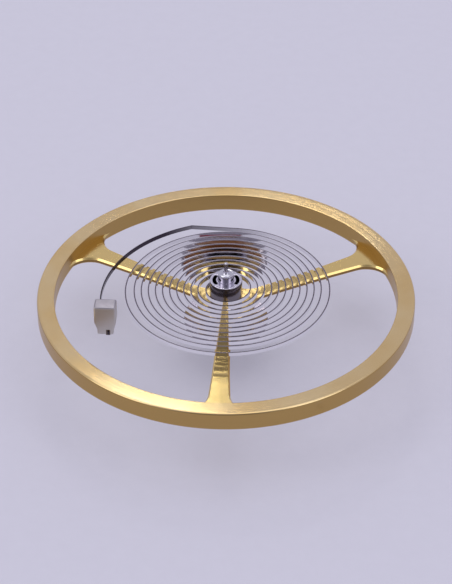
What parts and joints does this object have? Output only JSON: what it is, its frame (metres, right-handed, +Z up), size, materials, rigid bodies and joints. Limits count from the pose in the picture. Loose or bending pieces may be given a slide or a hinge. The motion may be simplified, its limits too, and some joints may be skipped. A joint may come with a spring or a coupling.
{
  "type": "watch balance assembly",
  "caption": "Wristwatch balance complete: smooth-rimmed three-armed wheel on a pivoted staff, with double roller, collet, flat hairspring and stud.",
  "frame": {"origin": "tip of the lower pivot, on the staff's axis", "axes": "+Z up the staff, from the roller side to the hairspring side; +Y away from the viewer of the picture and +X to the viewer's right"},
  "size_m": [0.01, 0.01, 0.0031],
  "materials": {
    "gilt_bronze": "gilt beryllium bronze, fine turned rim and polished edges",
    "polished_steel": "hardened steel, burnished",
    "roller_steel": "polished steel with fine circular grain",
    "ruby": "polished synthetic ruby",
    "shellac": "glossy amber bead",
    "spring_alloy": "rolled strip, polished faces",
    "stud_steel": "milled steel, fine straight grain",
    "cement": "dark glossy cement"
  },
  "bodies": {
    "stud_side_body": {"stud": "stud_steel", "stud_cement": "cement", "hairspring": "spring_alloy"},
    "balance": {"balance_wheel": "gilt_bronze", "balance_staff": "polished_steel", "double_roller": "roller_steel", "impulse_jewel": "ruby", "jewel_shellac": "shellac", "collet": "polished_steel"}
  },
  "joints": [
    {"name": "balance_swing", "type": "hinge", "parent": "stud_side_body", "child": "balance", "pos_m": [0, 0, 0], "axis": [0, 0, 1], "range_deg": [-315, 315], "stiffness_Nm_per_rad": 0.00000058, "deforming": ["hairspring"]}
  ]
}
